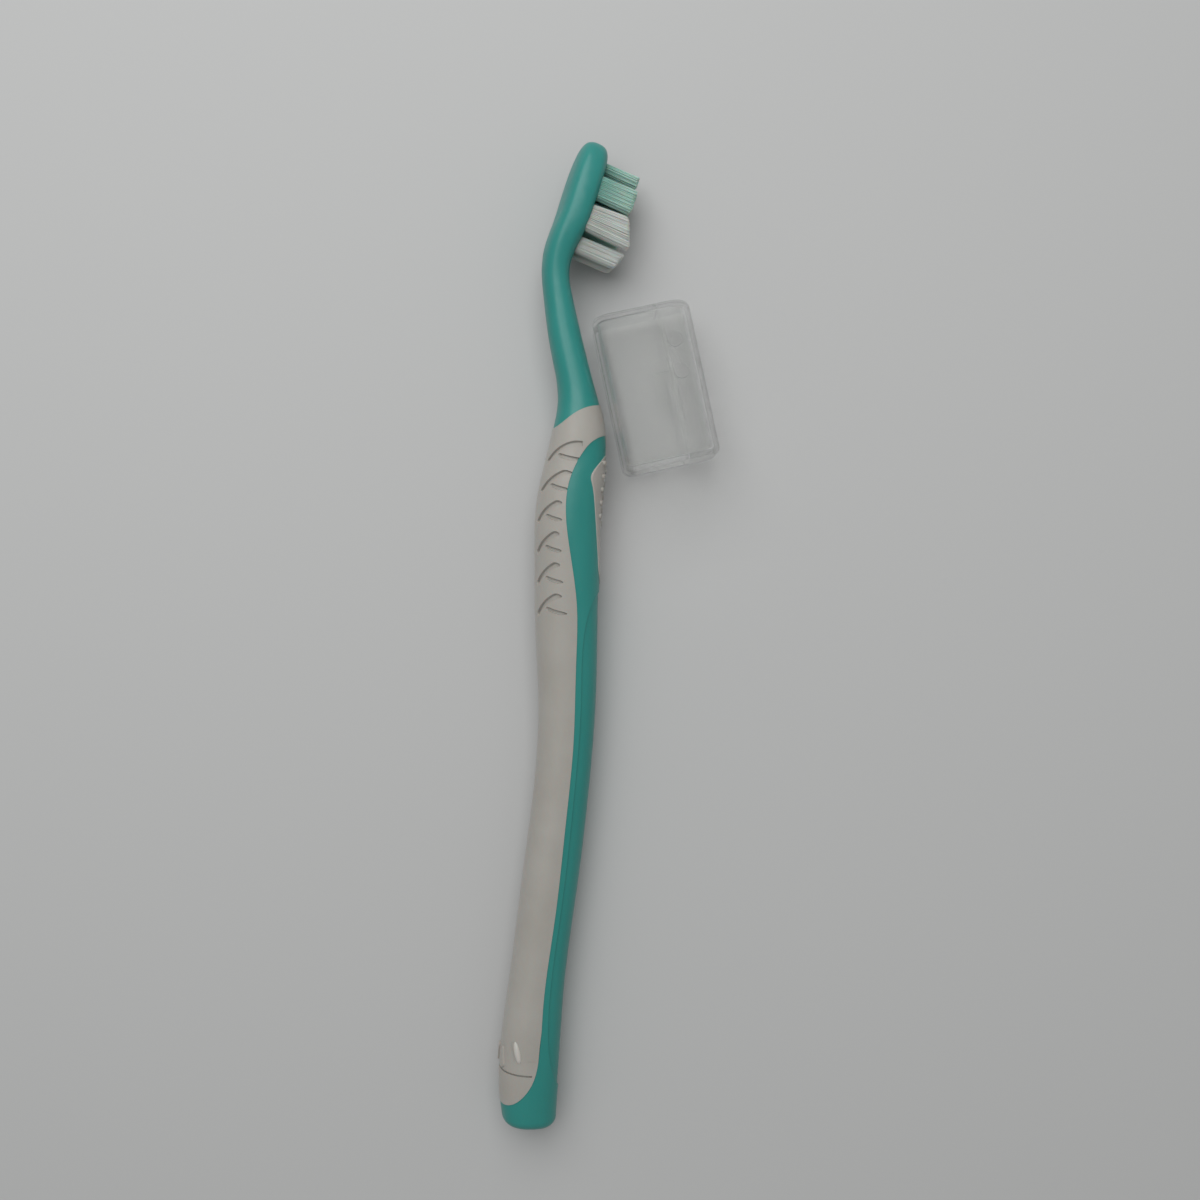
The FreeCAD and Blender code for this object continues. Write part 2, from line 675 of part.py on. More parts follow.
outer_tall = ((0.0, "0"), (cap_tall, "dims.cap_tall"))
inner_tall = ((cap_wall, "dims.cap_wall"), (cap_tall - cap_wall, "dims.cap_tall - dims.cap_wall"))
outer_long = (cap_long, "dims.cap_long")
inner_long = (cap_long - 2 * cap_wall, "dims.cap_long - 2 * dims.cap_wall")
back_corner = (dim("cap_corner"), "dims.cap_corner")
back_inner = (dim("cap_corner") - cap_wall, "dims.cap_corner - dims.cap_wall")
nose_corner = (dim("cap_nose"), "dims.cap_nose")
nose_inner = (dim("cap_nose") - cap_wall, "dims.cap_nose - dims.cap_wall")
outer_edge = "dims.cap_edge"
inner_edge = "dims.cap_edge - dims.cap_wall * 0.75"
split_back = (split, "dims.cap_split - dims.cap_deep / 2")
split_front = (split + cap_gap, "dims.cap_split - dims.cap_deep / 2 + dims.cap_gap")
open_back = (split + cap_wall, "dims.cap_split - dims.cap_deep / 2 + dims.cap_wall")
open_front = (split - cap_wall, "dims.cap_split - dims.cap_deep / 2 - dims.cap_wall")
back_at = (-cap_deep / 2, "-dims.cap_deep / 2")
back_in = (cap_wall - cap_deep / 2, "dims.cap_wall - dims.cap_deep / 2")
front_at = (cap_deep / 2, "dims.cap_deep / 2")
front_in = (cap_deep / 2 - cap_wall, "dims.cap_deep / 2 - dims.cap_wall")
back_block = half_block(
    "cap_back_block", split_back, back_at, outer_tall, back_corner, outer_long, outer_edge)
back_room = half_block(
    "cap_back_room", open_back, back_in, inner_tall, back_inner, inner_long, inner_edge)
front_block = half_block(
    "cap_front_block", split_front, front_at, outer_tall, nose_corner, outer_long, outer_edge)
front_room = half_block(
    "cap_front_room", open_front, front_in, inner_tall, nose_inner, inner_long, inner_edge)
back_shell = cut("cap_back_shell", back_block, back_room)
front_shell = cut("cap_front_shell", front_block, front_room)

# Neck slot in the handle end of the back half: straight sides and a round foot.
slot_wide = dim("neck_slot_wide")
slot_foot = dim("neck_slot_left") + slot_wide / 2 - cap_deep / 2
slot_box = doc.addObject("Part::Box", "neck_slot_sides")
slot_box.setExpression("Length", "dims.cap_split - dims.neck_slot_left - dims.neck_slot_wide / 2 + 1")
slot_box.setExpression("Width", "dims.cap_wall * 3")
slot_box.setExpression("Height", "dims.neck_slot_wide")
slot_box.Placement = Place(V(slot_foot, -cap_long / 2 - cap_wall, (cap_tall - slot_wide) / 2), Turn())
slot_round = doc.addObject("Part::Cylinder", "neck_slot_foot")
slot_round.setExpression("Radius", "dims.neck_slot_wide / 2")
slot_round.setExpression("Height", "dims.cap_wall * 3")
slot_round.Placement = Place(V(slot_foot, 2 * cap_wall - cap_long / 2, cap_tall / 2), Turn(V(1, 0, 0), 90))

# Catch at the side the cap lies on: a tongue from the front half slips in over the wall of the back half.
LATCH_SINK = 0.3
latch_low = cap_wall + dim("latch_fit")
latch_edge = -dim("latch_wide") / 2
tongue = doc.addObject("Part::Box", "latch_tongue")
tongue.setExpression("Length", "dims.latch_reach + dims.cap_gap + dims.latch_root")
tongue.setExpression("Width", "dims.latch_wide")
tongue.setExpression("Height", "dims.latch_thick")
tongue.Placement = Place(V(split - dim("latch_reach"), latch_edge, latch_low), Turn())
root = doc.addObject("Part::Box", "latch_root")
root.setExpression("Length", "dims.latch_root")
root.setExpression("Width", "dims.latch_wide")
root.setExpression("Height", "dims.latch_thick + dims.latch_fit + %g" % LATCH_SINK)
root.Placement = Place(V(split + cap_gap, latch_edge, cap_wall - LATCH_SINK), Turn())
cap_back = cut("cap_back", back_shell, group("neck_slot", [slot_box, slot_round]))
vents = []
for tag in ("low", "high"):
    vent = doc.addObject("Part::Cylinder", "vent_" + tag)
    vent.setExpression("Radius", "dims.vent_wide / 2")
    vent.setExpression("Height", "dims.cap_wall * 3")
    spot = V(split + dim("vent_from_split"), dim("vent_" + tag), cap_tall - 2 * cap_wall)
    vent.Placement = Place(spot, Turn())
    vents.append(vent)
front_vented = cut("cap_front_vented", front_shell, group("vents", vents))
cap_front = fuse("cap_front", [front_vented, tongue, root])

# Living hinge: a thin strip across the split on the upper side, shared by both halves.
hinge_strip = doc.addObject("Part::Box", "cap_hinge_strip")
hinge_strip.setExpression("Length", "dims.hinge_strip_wide")
hinge_strip.setExpression("Width", "dims.hinge_strip_long")
hinge_strip.setExpression("Height", "dims.hinge_strip_thick")
doc.recompute()

# The brush lies on its side, rolled and pitched as it rests, and the cap lies flat beside it.
lying = Turn(V(1, 0, 0), dim("pitch")).multiply(Turn(V(0, 1, 0), dim("roll")))
brush_place = Place(V(0, 0, 0), lying)
cap_place = Place(V(dim("cap_side"), dim("cap_along"), 0), Turn(V(0, 0, 1), dim("cap_turn")))
strip_corner = V(split + cap_gap / 2 - dim("hinge_strip_wide") / 2, -dim("hinge_strip_long") / 2, cap_tall)
strip_place = cap_place.multiply(Place(strip_corner, Turn()))
head_place = brush_place.multiply(HEAD)


def set_down(shift):
    base = Place(shift, Turn())
    for node in (handle_core, back_grip, thumb_pad, long_anchors, short_anchors):
        node.Placement = base.multiply(brush_place)
    for body, spot, spin in tuft_bodies:
        body.Placement = base.multiply(head_place).multiply(Place(spot, spin))
    level = Place(V(shift.x, shift.y, 0), Turn())
    cap_back.Placement = level.multiply(cap_place)
    cap_front.Placement = level.multiply(cap_place)
    hinge_strip.Placement = level.multiply(strip_place)
    doc.recompute()


brush_nodes = [handle_core, back_grip, thumb_pad, long_anchors, short_anchors] + [b[0] for b in tuft_bodies]
nodes = brush_nodes + [cap_back, cap_front, hinge_strip]
set_down(V(0, 0, 0))
floor = min(n.Shape.optimalBoundingBox(False).ZMin for n in brush_nodes)
boxes = [n.Shape.optimalBoundingBox(False) for n in nodes]
middle_x = (min(b.XMin for b in boxes) + max(b.XMax for b in boxes)) / 2
middle_y = (min(b.YMin for b in boxes) + max(b.YMax for b in boxes)) / 2
set_down(V(-middle_x, -middle_y, -floor))

# Every piece is checked and written to its own file.
os.makedirs("parts", exist_ok=True)
for item in doc.Objects:
    if "Invalid" in item.State or "Error" in item.State:
        raise RuntimeError("not built: " + item.Name)
for node in nodes:
    if node.Shape.isNull() or not node.Shape.isValid():
        raise RuntimeError("bad shape: " + node.Name)
    node.Label = node.Name
    node.Shape.exportStep("parts/%s.step" % node.Name)
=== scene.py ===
import json
import math
import random

import bpy
from mathutils import Matrix, Vector


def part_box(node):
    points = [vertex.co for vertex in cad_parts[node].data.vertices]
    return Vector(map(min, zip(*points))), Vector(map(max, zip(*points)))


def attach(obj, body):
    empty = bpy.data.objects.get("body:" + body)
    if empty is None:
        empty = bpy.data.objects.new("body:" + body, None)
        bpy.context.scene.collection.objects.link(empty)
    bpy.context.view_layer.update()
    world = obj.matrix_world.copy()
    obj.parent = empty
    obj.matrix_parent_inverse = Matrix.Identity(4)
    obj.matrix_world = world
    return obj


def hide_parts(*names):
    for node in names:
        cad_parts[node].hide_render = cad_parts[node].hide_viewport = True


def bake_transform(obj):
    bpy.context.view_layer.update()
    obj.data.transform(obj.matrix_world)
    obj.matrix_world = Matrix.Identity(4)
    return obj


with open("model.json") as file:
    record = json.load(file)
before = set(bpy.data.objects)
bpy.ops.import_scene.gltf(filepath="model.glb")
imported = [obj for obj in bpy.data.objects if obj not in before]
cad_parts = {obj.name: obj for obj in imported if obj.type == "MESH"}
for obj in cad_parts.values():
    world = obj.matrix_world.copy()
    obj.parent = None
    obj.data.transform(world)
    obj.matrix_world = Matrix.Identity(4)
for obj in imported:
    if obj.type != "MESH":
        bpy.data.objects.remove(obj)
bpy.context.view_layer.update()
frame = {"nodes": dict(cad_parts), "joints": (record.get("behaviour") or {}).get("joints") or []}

nodes = frame["nodes"]
joints = {joint["name"]: joint for joint in frame["joints"]}
MM = 0.001

# How the brush lies: lean of the head on the handle, then roll and pitch on the table, in degrees.
HEAD_LEAN = 13.8
ROLL = 15.0
PITCH = 0.27
LYING = Matrix.Rotation(math.radians(PITCH), 3, "X") @ Matrix.Rotation(math.radians(ROLL), 3, "Y")
BRUSH_ORIGIN = Vector((-5.788, -93.382, 5.275)) * MM

# Colours, linear.
TEAL = (0.024, 0.248, 0.222)
TEAL_DEEP = (0.015, 0.208, 0.184)
GRIP_WHITE = (0.360, 0.347, 0.316)
GRIP_SHADE = (0.325, 0.308, 0.276)
# The marks are the grip's rubber painted lighter as a painted highlight, and are also less rough.
MARK_HIGHLIGHT_PALE = (0.520, 0.508, 0.470)
MARK_HIGHLIGHT_DARK = (0.470, 0.455, 0.415)
# The bristle root colours are painted shade, darker where the tufts shade each other near the face.
BRISTLE_WHITE = (0.60, 0.62, 0.59)
BRISTLE_ROOT_SHADED = (0.42, 0.45, 0.42)
BRISTLE_GREEN = (0.40, 0.60, 0.53)
BRISTLE_GREEN_ROOT_SHADED = (0.13, 0.36, 0.30)
BRASS = (0.60, 0.46, 0.22)
BRASS_DEEP = (0.5, 0.37, 0.17)
CLEAR = (0.945, 0.950, 0.940)
FLOOR = (0.47, 0.475, 0.472)

# Surfaces.
CORE_IOR = 1.49
CAP_IOR = 1.2
CAP_ALPHA = 0.6
GRIP_ROUGH = 0.48
MARK_ROUGH = 0.28
ROUGH_SPAN = 0.14
FLOOR_ROUGH = 0.75


# Node helpers.
def new_material(name):
    material = bpy.data.materials.new(name)
    material.use_nodes = True
    tree = material.node_tree
    return material, tree, tree.nodes["Principled BSDF"]


def set_inputs(node, values):
    for key, value in values.items():
        node.inputs[key].default_value = value


def noise(tree, scale, detail=2.0, stretch=(1, 1, 1)):
    place = tree.nodes.new("ShaderNodeTexCoord")
    mapping = tree.nodes.new("ShaderNodeMapping")
    set_inputs(mapping, {"Scale": stretch})
    texture = tree.nodes.new("ShaderNodeTexNoise")
    set_inputs(texture, {"Scale": scale, "Detail": detail})
    tree.links.new(place.outputs["Object"], mapping.inputs["Vector"])
    tree.links.new(mapping.outputs["Vector"], texture.inputs["Vector"])
    return texture.outputs["Fac"]


def ramp(tree, source, stops):
    node = tree.nodes.new("ShaderNodeValToRGB")
    while len(node.color_ramp.elements) < len(stops):
        node.color_ramp.elements.new(0.5)
    for element, (place, colour) in zip(node.color_ramp.elements, stops):
        element.position = place
        element.color = (*colour, 1.0)
    tree.links.new(source, node.inputs["Fac"])
    return node.outputs["Color"]


def spread(tree, source, low, high):
    # Noise gathers round the middle, so that part of its range is stretched over the whole.
    node = tree.nodes.new("ShaderNodeMapRange")
    set_inputs(node, {"From Min": 0.3, "From Max": 0.7, "To Min": low, "To Max": high})
    tree.links.new(source, node.inputs["Value"])
    return node.outputs["Result"]


def bump(tree, height, strength, distance, under=None):
    node = tree.nodes.new("ShaderNodeBump")
    set_inputs(node, {"Strength": strength, "Distance": distance})
    tree.links.new(height, node.inputs["Height"])
    if under is not None:
        tree.links.new(under, node.inputs["Normal"])
    return node.outputs["Normal"]


# Moulded teal core: even gloss with faint flow clouds and the finest waviness.
def core_material():
    material, tree, shader = new_material("core_plastic")
    clouds = noise(tree, 90.0, 3.0, (1, 0.25, 1))
    tree.links.new(ramp(tree, clouds, [(0.25, TEAL_DEEP), (0.75, TEAL)]), shader.inputs["Base Color"])
    tree.links.new(spread(tree, noise(tree, 400.0, 4.0), 0.32, 0.42), shader.inputs["Roughness"])
    waves = bump(tree, noise(tree, 250.0, 1.0), 0.04, 0.2 * MM)
    grain = bump(tree, noise(tree, 7000.0, 2.0), 0.05, 0.02 * MM, waves)
    tree.links.new(grain, shader.inputs["Normal"])
    set_inputs(shader, {"IOR": CORE_IOR, "Subsurface Weight": 0.08, "Subsurface Scale": 0.6 * MM})
    return material


# Soft overmould: warm white, matte, with a fine powdery grain.
def grip_material(name, shade, pale, rough):
    material, tree, shader = new_material(name)
    clouds = noise(tree, 120.0, 4.0)
    tree.links.new(ramp(tree, clouds, [(0.2, shade), (0.7, pale)]), shader.inputs["Base Color"])
    patches = spread(tree, noise(tree, 900.0, 3.0), rough, rough + ROUGH_SPAN)
    tree.links.new(patches, shader.inputs["Roughness"])
    waves = bump(tree, noise(tree, 300.0, 1.0), 0.08, 0.2 * MM)
    grain = bump(tree, noise(tree, 6000.0, 3.0), 0.16, 0.05 * MM, waves)
    tree.links.new(grain, shader.inputs["Normal"])
    set_inputs(shader, {"Subsurface Weight": 0.12, "Subsurface Scale": 0.8 * MM})
    set_inputs(shader, {"Sheen Weight": 0.15, "Sheen Roughness": 0.5})
    return material


# Nylon filaments, darker at the root as painted shade between the tufts; "along" runs from 0 at the root
# to 1 at the tip.
def bristle_material(name, shaded_root, tip):
    material, tree, shader = new_material(name)
    along = tree.nodes.new("ShaderNodeAttribute")
    along.attribute_name = "along"
    tint = ramp(tree, along.outputs["Fac"], [(0.12, shaded_root), (0.75, tip)])
    tree.links.new(tint, shader.inputs["Base Color"])
    tree.links.new(spread(tree, noise(tree, 3000.0, 2.0), 0.30, 0.45), shader.inputs["Roughness"])
    set_inputs(shader, {"Subsurface Weight": 0.3, "Subsurface Scale": 0.5 * MM})
    return material


# Drawn brass of the small anchor plates, with the marks of drawing.
def brass_material():
    material, tree, shader = new_material("anchor_brass")
    lines = noise(tree, 2500.0, 2.0, (1, 0.1, 1))
    tree.links.new(ramp(tree, lines, [(0.3, BRASS_DEEP), (0.7, BRASS)]), shader.inputs["Base Color"])
    tree.links.new(spread(tree, lines, 0.25, 0.45), shader.inputs["Roughness"])
    set_inputs(shader, {"Metallic": 1.0})
    return material


# Clear cap: thin moulded walls with slight waviness.
def cap_material():
    material, tree, shader = new_material("cap_clear")
    waves = bump(tree, noise(tree, 180.0, 1.0), 0.05, 0.2 * MM)
    tree.links.new(waves, shader.inputs["Normal"])
    tree.links.new(spread(tree, noise(tree, 500.0, 3.0), 0.03, 0.09), shader.inputs["Roughness"])
    set_inputs(shader, {"Base Color": (*CLEAR, 1.0), "Transmission Weight": 1.0})
    set_inputs(shader, {"IOR": CAP_IOR, "Alpha": CAP_ALPHA})
    return material


def paint(piece, material):
    piece.data.materials.clear()
    piece.data.materials.append(material)


def add_piece(mesh, material):
    piece = bpy.data.objects.new(mesh.name, mesh)
    bpy.context.scene.collection.objects.link(piece)
    paint(piece, material)
    return piece


core = core_material()
grip = grip_material("grip_soft", GRIP_SHADE, GRIP_WHITE, GRIP_ROUGH)
# Material of the marks: the grip's rubber painted lighter, a painted highlight.
grip_highlit = grip_material("grip_painted_highlight", MARK_HIGHLIGHT_DARK, MARK_HIGHLIGHT_PALE, MARK_ROUGH)
white = bristle_material("bristle_white", BRISTLE_ROOT_SHADED, BRISTLE_WHITE)
green = bristle_material("bristle_green", BRISTLE_GREEN_ROOT_SHADED, BRISTLE_GREEN)
brass = brass_material()
clear = cap_material()
paint(nodes["handle_core"], core)
paint(nodes["thumb_pad"], grip)
paint(nodes["long_anchors"], brass)
paint(nodes["short_anchors"], brass)
paint(nodes["cap_back"], clear)
paint(nodes["cap_front"], clear)


# Head directions in the row frame: across, along and out of the bristle face.
def head_axes():
    lean = math.radians(HEAD_LEAN)
    along = LYING @ Vector((math.sin(lean), math.cos(lean), 0))
    out = LYING @ Vector((math.cos(lean), -math.sin(lean), 0))
    return along.cross(out), along, out


ACROSS, ALONG, OUT = head_axes()

# Filaments of the tufts, set in close rows. The bow is in millimetres.
FILAMENT = 0.165 * MM
FILAMENT_PITCH = 0.175 * MM
FILAMENT_STRAY = 0.025 * MM
FILAMENT_SIDES = 6
FILAMENT_BOW = 0.03
ROW_STEP = 0.866
FILAMENT_RINGS = (0.0, 0.35, 0.7, 0.94, 0.985, 1.0)
RING_WIDTHS = (1.0, 1.0, 1.0, 1.0, 0.8, 0.35)
ROOT_DEPTH = 1.5 * MM
TUFT_SUNK = 3.0 * MM
TIP_WANDER = 0.06 * MM
TIP_UNEVEN = 0.10 * MM
END_ROUND = 0.6 * MM
FOOT_SLACK = 0.02 * MM
END_ABOVE = 2 * MM
SEED = 7
random.seed(SEED)


def tuft_measure(node):
    # Face level, end levels at the heel and tip side, then middle and half sizes at the foot and the ends.
    points = [v.co for v in nodes[node].data.vertices]
    heights = [p.dot(OUT) for p in points]
    foot = min(heights)
    face = foot + TUFT_SUNK
    low_ring = [p for p, h in zip(points, heights) if abs(h - foot) < FOOT_SLACK]
    end_ring = [p for p, h in zip(points, heights) if h > face + END_ABOVE]
    sections = []
    for ring in (low_ring, end_ring):
        across = [p.dot(ACROSS) for p in ring]
        along = [p.dot(ALONG) for p in ring]
        centre = ((min(across) + max(across)) / 2, (min(along) + max(along)) / 2)
        half = ((max(across) - min(across)) / 2, (max(along) - min(along)) / 2)
        sections.append((centre, half))
    low_end = min(end_ring, key=lambda p: p.dot(ALONG)).dot(OUT)
    high_end = max(end_ring, key=lambda p: p.dot(ALONG)).dot(OUT)
    return face, (low_end, high_end), sections


def inside_slot(a, b, half_a, half_b, edge):
    # True where a filament fits in the round-ended slot.
    narrow = min(half_a, half_b)
    rest_a = max(abs(a) - (half_a - narrow), 0.0)
    rest_b = max(abs(b) - (half_b - narrow), 0.0)
    return math.hypot(rest_a, rest_b) <= narrow - edge


def tuft_spots(half_a, half_b):
    spots = []
    rows = int(half_b / (FILAMENT_PITCH * ROW_STEP)) + 1
    columns = int(half_a / FILAMENT_PITCH) + 2
    for row in range(-rows, rows + 1):
        shift = 0.5 * (row % 2)
        for column in range(-columns, columns + 1):
            a = (column + shift) * FILAMENT_PITCH
            b = row * FILAMENT_PITCH * ROW_STEP
            if inside_slot(a, b, half_a, half_b, FILAMENT / 2):
                spots.append((a, b))
    return spots


def add_filament(verts, faces, shares, base, tip):
    start = len(verts)
    sides = FILAMENT_SIDES
    run = tip - base
    bow = ACROSS * random.uniform(-FILAMENT_BOW, FILAMENT_BOW) * MM
    bow += ALONG * random.uniform(-FILAMENT_BOW, FILAMENT_BOW) * MM
    for share, width in zip(FILAMENT_RINGS, RING_WIDTHS):
        middle = base + run * share + bow * math.sin(math.pi * share)
        for k in range(sides):
            angle = 2 * math.pi * k / sides
            offset = ACROSS * math.cos(angle) + ALONG * math.sin(angle)
            verts.append(middle + offset * (FILAMENT / 2 * width))
            shares.append(share)
    rings = len(FILAMENT_RINGS)
    for r in range(rings - 1):
        for k in range(sides):
            a = start + r * sides + k
            b = start + r * sides + (k + 1) % sides
            faces.append((a, b, b + sides, a + sides))
    faces.append(tuple(start + k for k in reversed(range(sides))))
    faces.append(tuple(start + (rings - 1) * sides + k for k in range(sides)))


def make_tuft(node, material):
    face, (low_end, high_end), sections = tuft_measure(node)
    (foot_centre, foot_half), (end_centre, end_half) = sections
    verts = []
    faces = []
    shares = []
    for a, b in tuft_spots(*foot_half):
        a += random.uniform(-FILAMENT_STRAY, FILAMENT_STRAY)
        b += random.uniform(-FILAMENT_STRAY, FILAMENT_STRAY)
        root_a = foot_centre[0] + a
        root_b = foot_centre[1] + b
        end_a = end_centre[0] + a * end_half[0] / foot_half[0] + random.gauss(0, TIP_WANDER)
        end_b = end_centre[1] + b * end_half[1] / foot_half[1] + random.gauss(0, TIP_WANDER)
        share = 0.5 + 0.5 * b / foot_half[1]
        edge = max(abs(a) / foot_half[0], abs(b) / foot_half[1])
        end_h = low_end + (high_end - low_end) * share - END_ROUND * edge ** 4
        end_h -= abs(random.gauss(0, TIP_UNEVEN))
        base = ACROSS * root_a + ALONG * root_b + OUT * (face - ROOT_DEPTH)
        tip = ACROSS * end_a + ALONG * end_b + OUT * end_h
        add_filament(verts, faces, shares, base, tip)
    mesh = bpy.data.meshes.new(node.replace("tuft", "filaments"))
    mesh.from_pydata(verts, [], faces)
    mesh.update()
    mesh.attributes.new("along", "FLOAT", "POINT").data.foreach_set("value", shares)
    mesh.polygons.foreach_set("use_smooth", [len(f.vertices) == 4 for f in mesh.polygons])
    piece = add_piece(mesh, material)
    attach(piece, "brush")
    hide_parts(node)


for node in sorted(n for n in nodes if n.startswith("tuft_")):
    if "heel" in node or "mid" in node:
        make_tuft(node, white)
    else:
        make_tuft(node, green)


def nodes_middle(node):
    low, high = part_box(node)
    return (low + high) / 2


# Living hinge: a thin web along the hinge line, thinnest along its middle.
WEB_HALF_WIDE = 0.5 * MM
WEB_HALF_LONG = 11.0 * MM
WEB_MIDDLE_SHARE = 0.55
WEB_EDGE_SHARE = 0.45
WEB_STEPS = 20


def make_hinge_web():
    low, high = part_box("cap_hinge_strip")
    hinge = joints["cap_hinge"]
    line = Vector(hinge["axis"]).normalized()
    side = Vector((-line.y, line.x, 0))
    middle = Vector(hinge["pos_m"])
    half_thick = (high.z - low.z) / 2
    verts = []
    faces = []
    for k in range(WEB_STEPS + 1):
        across = -WEB_HALF_WIDE + 2 * WEB_HALF_WIDE * k / WEB_STEPS
        thin = half_thick * (WEB_MIDDLE_SHARE + WEB_EDGE_SHARE * (across / WEB_HALF_WIDE) ** 2)
        for end in (-1, 1):
            for level in (-half_thick, -half_thick + 2 * thin):
                place = middle + side * across + line * (end * WEB_HALF_LONG)
                verts.append(place + Vector((0, 0, level)))
    for k in range(WEB_STEPS):
        a = 4 * k
        b = a + 4
        faces += [(a, b, b + 2, a + 2), (a + 1, a + 3, b + 3, b + 1)]
        faces += [(a, a + 1, b + 1, b), (a + 2, b + 2, b + 3, a + 3)]
    last = 4 * WEB_STEPS
    faces += [(0, 2, 3, 1), (last, last + 1, last + 3, last + 2)]
    mesh = bpy.data.meshes.new("hinge_web")
    mesh.from_pydata(verts, [], faces)
    mesh.update()
    piece = add_piece(mesh, clear)
    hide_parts("cap_hinge_strip")
    back_side = -1 if (nodes_middle("cap_back") - middle).dot(side) < 0 else 1
    end = middle - side * (back_side * WEB_HALF_WIDE)
    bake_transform(piece)


make_hinge_web()

# Skin of the grip: the raised strips near its end are eased down to the surface on both sides of them, and
# what runs past the border of the grip is folded back to it. Places are in the frame of the brush.
STRIP_FROM = 12.9 * MM
STRIP_TO = 17.5 * MM
STRIP_SIDE = 3.2 * MM
STRIP_CENTRE = -2.8 * MM
STRIP_BORDER = -0.36 * MM
STRIP_RAISED = 0.05 * MM
GRIP_PROUD = 0.12 * MM
FACING_OUT = 0.5
FAR_OUT = 20 * MM


def outer_surface(node, middle, way):
    # Distance from a point inside the handle to a node's outer surface and the normal there.
    # The distance is 0 where the node has no surface.
    start = LYING @ (middle + way * FAR_OUT) + BRUSH_ORIGIN
    found, point, normal, face = nodes[node].ray_cast(start, -(LYING @ way))
    if not found:
        return 0.0, LYING @ way
    return max((LYING.transposed() @ (point - BRUSH_ORIGIN) - middle).dot(way), 0.0), normal


def eased_end(middle, way):
    # Past the border of the grip only the core is there, and the grip would stand a step proud of it.
    radius, normal = outer_surface("back_grip", middle, way)
    core_radius, core_normal = outer_surface("handle_core", middle, way)
    if core_radius + GRIP_PROUD > radius:
        return core_radius + GRIP_PROUD, core_normal
    return radius, normal


def eased_surface(middle, way):
    low, low_normal = eased_end(Vector((middle.x, STRIP_FROM, 0)), way)
    high, high_normal = eased_end(Vector((middle.x, STRIP_TO, 0)), way)
    share = (middle.y - STRIP_FROM) / (STRIP_TO - STRIP_FROM)
    return low + (high - low) * share, low_normal.lerp(high_normal, share).normalized()


def make_grip_skin():
    mesh = nodes["back_grip"].data.copy()
    mesh.name = "grip_skin"
    normals = [corner.vector.copy() for corner in mesh.corner_normals]
    eased_normals = {}
    for vertex in mesh.vertices:
        spot = LYING.transposed() @ (vertex.co - BRUSH_ORIGIN)
        if not STRIP_FROM < spot.y < STRIP_TO or abs(spot.z) < STRIP_SIDE:
            continue
        spot.x = min(spot.x, STRIP_BORDER)
        middle = Vector((max(spot.x, STRIP_CENTRE), spot.y, 0))
        way = spot - middle
        radius = way.length
        way.normalize()
        eased, normal = eased_surface(middle, way)
        if radius > eased - STRIP_RAISED:
            eased_normals[vertex.index] = normal
        if radius > eased + STRIP_RAISED:
            radius = eased
        vertex.co = LYING @ (middle + way * radius) + BRUSH_ORIGIN
    mesh.update()
    for face in mesh.polygons:
        for corner in face.loop_indices:
            normal = eased_normals.get(mesh.loops[corner].vertex_index)
            if normal is None:
                continue
            # A folded face is seen from its back, where the renderer turns the normal round.
            facing = face.normal.dot(normal)
            if abs(facing) > FACING_OUT:
                normals[corner] = normal if facing > 0 else -normal
    mesh.normals_split_custom_set(normals)
    piece = add_piece(mesh, grip)
    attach(piece, "brush")
    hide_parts("back_grip")
    return piece


grip_skin = make_grip_skin()

# Leaning pill-shaped marks on the sides of the grip near its end, alike on both sides. They are the grip's
# rubber, painted lighter as a painted highlight.
MARK_AT = Vector((-8.84, -78.3, 0)) * MM
MARK_RUN = Vector((0.33, -0.94, 0))
MARK_HALF_LONG = 2.1 * MM
MARK_HALF_WIDE = 0.62 * MM
MARK_HALF_HIGH = 0.5 * MM
MARK_SUNK = 0.12 * MM
MARK_TURNS = 32
MARK_RINGS = 12
LOOK_FROM = 0.1


def grip_surface(place):
    # Point and outward direction of the grip's skin straight above a place on the table.
    bpy.context.view_layer.update()
    above = Vector((place.x, place.y, LOOK_FROM))
    found, point, normal, face = grip_skin.ray_cast(above, Vector((0, 0, -1)))
    return point, normal.normalized()


def make_mark(name, point, normal, run):
    long_way = (run - normal * run.dot(normal)).normalized()
    wide_way = normal.cross(long_way)
    middle = point - normal * MARK_SUNK
    verts = [middle - normal * MARK_HALF_HIGH]
    faces = []
    for ring in range(1, MARK_RINGS):
        rise = math.pi * (ring / MARK_RINGS - 0.5)
        for k in range(MARK_TURNS):
            turn = 2 * math.pi * k / MARK_TURNS
            flat = math.cos(rise)
            offset = long_way * (MARK_HALF_LONG * flat * math.cos(turn))
            offset += wide_way * (MARK_HALF_WIDE * flat * math.sin(turn))
            verts.append(middle + offset + normal * (MARK_HALF_HIGH * math.sin(rise)))
    top = len(verts)
    verts.append(middle + normal * MARK_HALF_HIGH)
    for k in range(MARK_TURNS):
        after = (k + 1) % MARK_TURNS
        faces.append((0, 1 + after, 1 + k))
        for ring in range(MARK_RINGS - 2):
            a = 1 + ring * MARK_TURNS + k
            b = 1 + ring * MARK_TURNS + after
            faces.append((a, b, b + MARK_TURNS, a + MARK_TURNS))
        faces.append((top - MARK_TURNS + k, top - MARK_TURNS + after, top))
    mesh = bpy.data.meshes.new(name)
    mesh.from_pydata(verts, [], faces)
    mesh.update()
    mesh.polygons.foreach_set("use_smooth", [True] * len(mesh.polygons))
    piece = add_piece(mesh, grip_highlit)
    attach(piece, "brush")


def mirrored(vector):
    return vector - ACROSS * (2 * vector.dot(ACROSS))


mark_point, mark_normal = grip_surface(MARK_AT)
middle_plane = nodes_middle("tuft_crown")
make_mark("grip_mark_left", mark_point, mark_normal, MARK_RUN)
far_point = middle_plane + mirrored(mark_point - middle_plane)
make_mark("grip_mark_right", far_point, mirrored(mark_normal), mirrored(MARK_RUN))

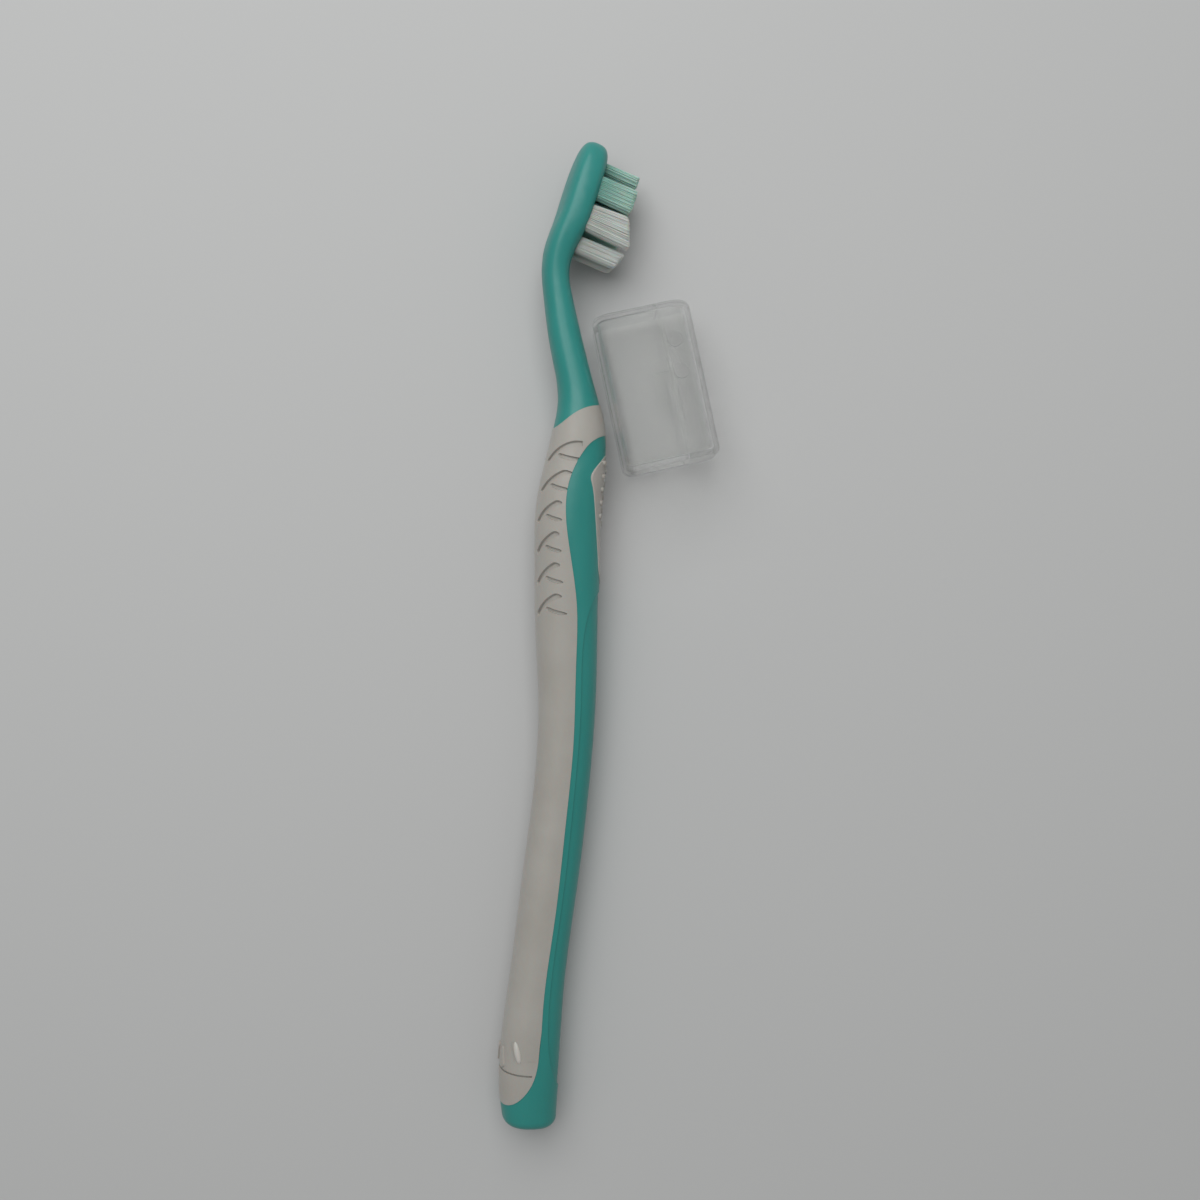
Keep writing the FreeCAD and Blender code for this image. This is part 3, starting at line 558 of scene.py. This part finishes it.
# Stage: a pale floor, a soft overhead light and even light all round.
FLOOR_HALF = 2.0
FLOOR_DROP = 0.02 * MM
floor_mesh = bpy.data.meshes.new("floor")
corners = [(-FLOOR_HALF, -FLOOR_HALF, 0), (FLOOR_HALF, -FLOOR_HALF, 0)]
corners += [(FLOOR_HALF, FLOOR_HALF, 0), (-FLOOR_HALF, FLOOR_HALF, 0)]
floor_mesh.from_pydata([Vector(c) - Vector((0, 0, FLOOR_DROP)) for c in corners], [], [(0, 1, 2, 3)])
floor_material, floor_tree, floor_shader = new_material("floor_paper")
set_inputs(floor_shader, {"Base Color": (*FLOOR, 1.0), "Roughness": FLOOR_ROUGH})
floor = add_piece(floor_mesh, floor_material)

WORLD_LIGHT = 0.37
SOFTBOX_AT = (-0.12, 0.30, 0.48)
SOFTBOX_AIM = (0, 0.05, 0)
SOFTBOX_SIZE = 0.60
SOFTBOX_POWER = 2.85
world = bpy.data.worlds.new("studio")
world.use_nodes = True
set_inputs(world.node_tree.nodes["Background"], {"Color": (1, 1, 1, 1), "Strength": WORLD_LIGHT})
bpy.context.scene.world = world


def add_softbox(name, place, aim, size, power):
    data = bpy.data.lights.new(name, "AREA")
    data.shape = "SQUARE"
    data.size = size
    data.energy = power
    lamp = bpy.data.objects.new(name, data)
    lamp.location = place
    lamp.rotation_mode = "QUATERNION"
    lamp.rotation_quaternion = (Vector(aim) - Vector(place)).to_track_quat("-Z", "Y")
    bpy.context.scene.collection.objects.link(lamp)


add_softbox("overhead", SOFTBOX_AT, SOFTBOX_AIM, SOFTBOX_SIZE, SOFTBOX_POWER)

# Camera: straight above, turned a little so that the brush leans.
CAMERA_AT = Vector((-1.341, 7.512, 235.9)) * MM
LOOK = Vector((0, 0, -1))
UP = Vector((-0.09357, 0.99561, 0)).normalized()
SENSOR = 36.0
LENS = 36.09
CLIP_START = 0.01
camera_data = bpy.data.cameras.new("camera")
camera_data.sensor_width = SENSOR
camera_data.lens = LENS
camera_data.clip_start = CLIP_START
camera = bpy.data.objects.new("camera", camera_data)
right = LOOK.cross(UP).normalized()
upright = right.cross(LOOK)
turn = Matrix((right, upright, -LOOK)).transposed()
camera.matrix_world = Matrix.Translation(CAMERA_AT) @ turn.to_4x4()
bpy.context.scene.collection.objects.link(camera)
bpy.context.scene.camera = camera
bpy.context.scene.view_settings.view_transform = "Standard"
